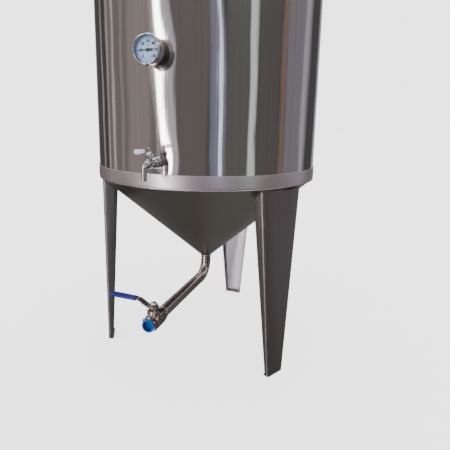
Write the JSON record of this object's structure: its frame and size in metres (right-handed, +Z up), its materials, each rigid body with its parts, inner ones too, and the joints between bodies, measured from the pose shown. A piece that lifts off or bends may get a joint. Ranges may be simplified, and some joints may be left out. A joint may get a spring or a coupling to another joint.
{
  "type": "conical fermenter",
  "caption": "Stainless conical fermenter on folded legs with a bottom drain ball valve, a sample tap, a dial thermometer, and a clamped lid with an airlock.",
  "frame": {"origin": "on the floor, in the middle of the box around the whole object; the tank axis is 37 mm behind it (+Y)", "axes": "+Z up along the tank axis, -Y to the front, where the drain, tap and dial are, +X to the right seen from the front"},
  "size_m": [0.6176, 0.6918, 1.3573],
  "materials": {
    "polished_steel": "bright annealed stainless sheet, near mirror, with a fine vertical grain",
    "satin_steel": "satin brushed stainless, grain around the piece",
    "dark_satin_steel": "satin stainless sheet that mirrors a dark floor, a little brown",
    "cast_steel": "investment-cast stainless, fine shot-blasted, worn bright on edges",
    "bright_steel": "polished stainless",
    "blue_vinyl": "dipped vinyl, semi gloss",
    "blue_plastic": "moulded polyethylene",
    "white_plastic": "moulded nylon",
    "dial_face": "printed aluminium dial, pale blue-white",
    "needle_black": "painted aluminium",
    "lens_glass": "flat clear glass",
    "clear_plastic": "clear polystyrene",
    "red_plastic": "moulded polyethylene",
    "float_plastic": "moulded polypropylene",
    "silicone": "food-grade silicone",
    "ptfe": "machined PTFE",
    "bimetal": "rolled bimetal wire"
  },
  "bodies": {
    "tank": {"shell": "polished_steel", "lower_band": "satin_steel", "cone_bottom": "dark_satin_steel", "leg_right": "dark_satin_steel", "leg_left": "dark_satin_steel", "leg_rear": "dark_satin_steel", "foot_right": "dark_satin_steel", "foot_left": "dark_satin_steel", "foot_rear": "dark_satin_steel", "drain_elbow": "satin_steel", "drain_pipe": "satin_steel", "valve_tail": "cast_steel", "valve_body": "cast_steel", "valve_seat_rear": "ptfe", "valve_seat_front": "ptfe", "valve_packing": "ptfe", "valve_gland_nut": "cast_steel", "tap_boss": "satin_steel", "tap_body": "bright_steel", "tap_seal": "ptfe", "tap_bonnet": "bright_steel", "thermometer_socket": "satin_steel", "thermometer_washer": "ptfe", "thermometer_probe": "bright_steel", "thermometer_case": "bright_steel", "thermometer_bezel": "bright_steel", "thermometer_lens": "lens_glass", "thermometer_dial": "dial_face", "thermometer_coil": "bimetal"},
    "drain_handle": {"valve_ball": "bright_steel", "valve_stem": "bright_steel", "valve_lever": "satin_steel", "valve_lever_sleeve": "blue_vinyl", "valve_lever_nut": "bright_steel"},
    "outlet_cap": {"thread_cap": "blue_plastic"},
    "tap_handle": {"tap_rotor": "bright_steel", "tap_lever": "bright_steel", "tap_lever_nut": "bright_steel", "tap_lever_cover": "white_plastic"},
    "needle": {"thermometer_needle": "needle_black", "thermometer_spindle": "bright_steel"},
    "lid_assembly": {"lid": "polished_steel", "lid_gasket": "silicone", "lid_handle_left": "satin_steel", "lid_handle_right": "satin_steel", "clamp_ring": "satin_steel", "airlock_grommet": "silicone", "airlock_body": "clear_plastic"},
    "clamp_lever_arm": {"clamp_lever": "satin_steel", "clamp_lever_pin": "bright_steel", "clamp_link_pin": "bright_steel"},
    "clamp_link_arm": {"clamp_link": "satin_steel"},
    "airlock_float_cup": {"airlock_float": "float_plastic"},
    "airlock_top": {"airlock_cap": "red_plastic"}
  },
  "joints": [
    {"name": "drain_valve", "type": "hinge", "parent": "tank", "child": "drain_handle", "pos_m": [0, -0.284, 0.218], "axis": [0, 0, -1], "range_deg": [0, 90]},
    {"name": "outlet_cap_pull", "type": "slide", "parent": "tank", "child": "outlet_cap", "axis": [0, -1, 0], "range_m": [0, 0.04]},
    {"name": "sample_tap", "type": "hinge", "parent": "tank", "child": "tap_handle", "pos_m": [0, -0.296, 0.574], "axis": [0, 0, 1], "range_deg": [0, 90]},
    {"name": "dial_needle", "type": "hinge", "parent": "tank", "child": "needle", "pos_m": [0, -0.293, 0.7785], "axis": [0, 1, 0], "range_deg": [-45, 225], "stiffness_Nm_per_rad": 0.005},
    {"name": "lid_lift", "type": "slide", "parent": "tank", "child": "lid_assembly", "axis": [0, 0, 1], "range_m": [0, 0.3]},
    {"name": "clamp_lever_swing", "type": "hinge", "parent": "lid_assembly", "child": "clamp_lever_arm", "pos_m": [0.018, -0.2788, 1.2098], "axis": [0, 0, -1], "range_deg": [0, 110], "deforming": ["clamp_ring"]},
    {"name": "clamp_link_swing", "type": "hinge", "parent": "clamp_lever_arm", "child": "clamp_link_arm", "pos_m": [0.031, -0.2838, 1.2098], "axis": [0, 0, 1], "range_deg": [0, 130]},
    {"name": "airlock_float_rise", "type": "slide", "parent": "lid_assembly", "child": "airlock_float_cup", "axis": [0, 0, 1], "range_m": [0, 0.012]},
    {"name": "airlock_cap_pull", "type": "slide", "parent": "lid_assembly", "child": "airlock_top", "axis": [0, 0, 1], "range_m": [0, 0.03]}
  ],
  "couplings": [
    {"joint": "clamp_link_swing", "follows": "clamp_lever_swing", "ratio": 1.18}
  ]
}
